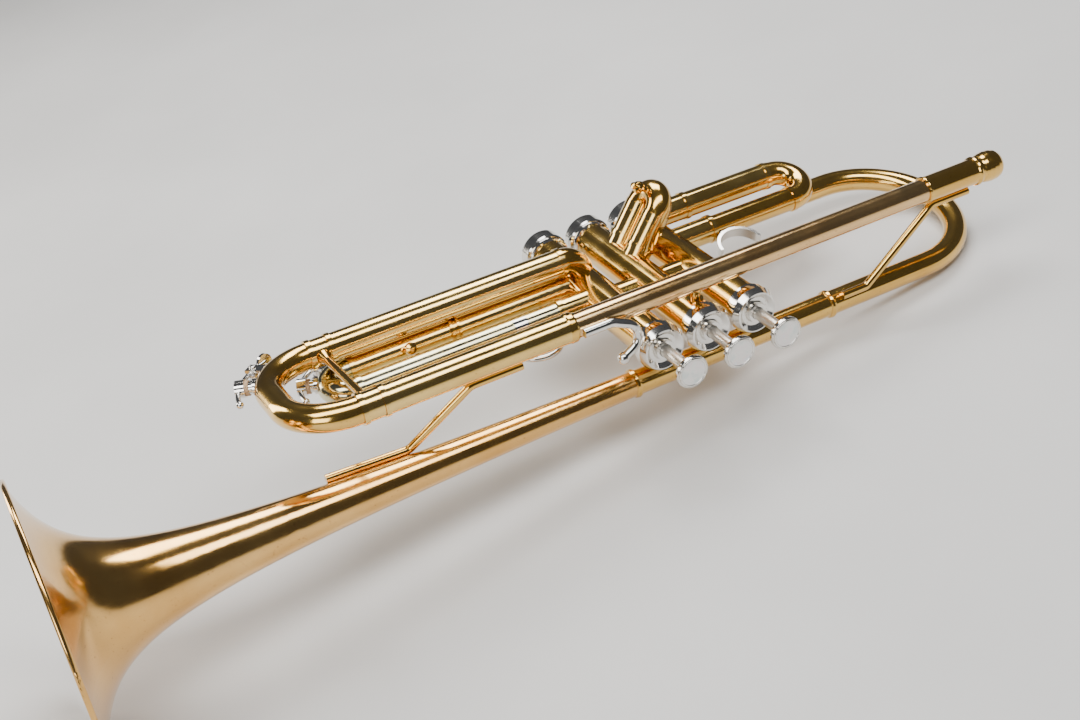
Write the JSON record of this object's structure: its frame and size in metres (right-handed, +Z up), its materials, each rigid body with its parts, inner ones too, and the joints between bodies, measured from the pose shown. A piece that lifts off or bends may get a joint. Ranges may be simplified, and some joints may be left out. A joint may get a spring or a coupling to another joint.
{
  "type": "trumpet",
  "caption": "Three-valve piston trumpet lying on its bell side, with tuning slides, water keys, sprung valves and a flared bell.",
  "frame": {"origin": "middle of the footprint, on the table that the horn lies on", "axes": "+X towards the bell, +Y towards the finger buttons, +Z up out of the table, on the leadpipe side"},
  "size_m": [0.5128, 0.1714, 0.1262],
  "materials": {
    "lacquered_brass": "clear gold lacquer",
    "rose_brass": "clear gold lacquer over rose brass",
    "nickel_plate": "polished nickel",
    "piston_alloy": "honed nickel alloy",
    "spring_steel": "drawn wire",
    "pearl": "pearl",
    "felt": "felt",
    "cork": "natural cork"
  },
  "bodies": {
    "horn": {"bell_bow": "lacquered_brass", "bell_flare": "rose_brass", "bell_stem": "rose_brass", "bell_tail_tube": "lacquered_brass", "bottom_valve_caps": "nickel_plate", "casing_knuckles": "lacquered_brass", "first_slide_tubes": "lacquered_brass", "front_bell_brace": "lacquered_brass", "leadpipe": "rose_brass", "main_tube_elbow": "lacquered_brass", "mouthpiece_receiver": "lacquered_brass", "pinky_hook": "nickel_plate", "rear_bell_brace": "lacquered_brass", "second_slide_tubes": "lacquered_brass", "slide_stop_fittings": "lacquered_brass", "third_slide_tubes": "lacquered_brass", "top_valve_cap_1": "nickel_plate", "top_valve_cap_2": "nickel_plate", "top_valve_cap_3": "nickel_plate", "tube_ferrules": "lacquered_brass", "tuning_slide_tubes": "lacquered_brass", "valve_casing_1": "lacquered_brass", "valve_casing_2": "lacquered_brass", "valve_casing_3": "lacquered_brass", "valve_guides": "nickel_plate", "valve_spring_1": "spring_steel", "valve_spring_2": "spring_steel", "valve_spring_3": "spring_steel", "valve_strut": "lacquered_brass"},
    "valve_1": {"piston_1": "piston_alloy", "valve_felt_1": "felt", "valve_stem_1": "nickel_plate", "finger_button_1": "nickel_plate", "button_pearl_1": "pearl"},
    "valve_2": {"piston_2": "piston_alloy", "valve_felt_2": "felt", "valve_stem_2": "nickel_plate", "finger_button_2": "nickel_plate", "button_pearl_2": "pearl"},
    "valve_3": {"piston_3": "piston_alloy", "valve_felt_3": "felt", "valve_stem_3": "nickel_plate", "finger_button_3": "nickel_plate", "button_pearl_3": "pearl"},
    "tuning_slide": {"tuning_slide_bow": "lacquered_brass", "tuning_slide_sleeves": "lacquered_brass", "tuning_slide_brace": "lacquered_brass", "main_water_key_mount": "lacquered_brass"},
    "main_water_key": {"main_water_key": "nickel_plate", "main_water_key_cork": "cork"},
    "first_slide": {"first_slide_bow": "lacquered_brass", "thumb_saddle": "nickel_plate"},
    "second_slide": {"second_slide_bow": "lacquered_brass", "second_slide_sleeves": "lacquered_brass", "second_slide_knob": "lacquered_brass"},
    "third_slide": {"third_slide_bow": "lacquered_brass", "third_slide_finger_ring": "nickel_plate", "third_water_key_mount": "lacquered_brass"},
    "third_water_key": {"third_water_key": "nickel_plate", "third_water_key_cork": "cork"}
  },
  "joints": [
    {"name": "valve_1", "type": "slide", "parent": "horn", "child": "valve_1", "axis": [0, -1, 0], "range_m": [0, 0.016], "stiffness_N_per_m": 90, "springref_m": -0.025, "deforming": ["valve_spring_1"]},
    {"name": "valve_2", "type": "slide", "parent": "horn", "child": "valve_2", "axis": [0, -1, 0], "range_m": [0, 0.016], "stiffness_N_per_m": 90, "springref_m": -0.025, "deforming": ["valve_spring_2"]},
    {"name": "valve_3", "type": "slide", "parent": "horn", "child": "valve_3", "axis": [0, -1, 0], "range_m": [0, 0.016], "stiffness_N_per_m": 90, "springref_m": -0.025, "deforming": ["valve_spring_3"]},
    {"name": "tuning_slide", "type": "slide", "parent": "horn", "child": "tuning_slide", "axis": [0.9925, 0, 0.1223], "range_m": [0, 0.035]},
    {"name": "main_water_key", "type": "hinge", "parent": "tuning_slide", "child": "main_water_key", "pos_m": [0.12537, -0.04253, 0.08643], "axis": [0.1216, 0.108, -0.9867], "range_deg": [0, 18], "stiffness_Nm_per_rad": 0.06, "springref_deg": -28.65},
    {"name": "first_slide", "type": "slide", "parent": "horn", "child": "first_slide", "axis": [-0.9925, 0, -0.1223], "range_m": [0, 0.014]},
    {"name": "second_slide", "type": "slide", "parent": "horn", "child": "second_slide", "axis": [-0.6694, 0, 0.7429], "range_m": [0, 0.01]},
    {"name": "third_slide", "type": "slide", "parent": "horn", "child": "third_slide", "axis": [0.9925, 0, 0.1223], "range_m": [0, 0.012]},
    {"name": "third_water_key", "type": "hinge", "parent": "third_slide", "child": "third_water_key", "pos_m": [0.09565, -0.05147, 0.06714], "axis": [0.1223, 0, -0.9925], "range_deg": [0, 12], "stiffness_Nm_per_rad": 0.06, "springref_deg": -28.65}
  ]
}
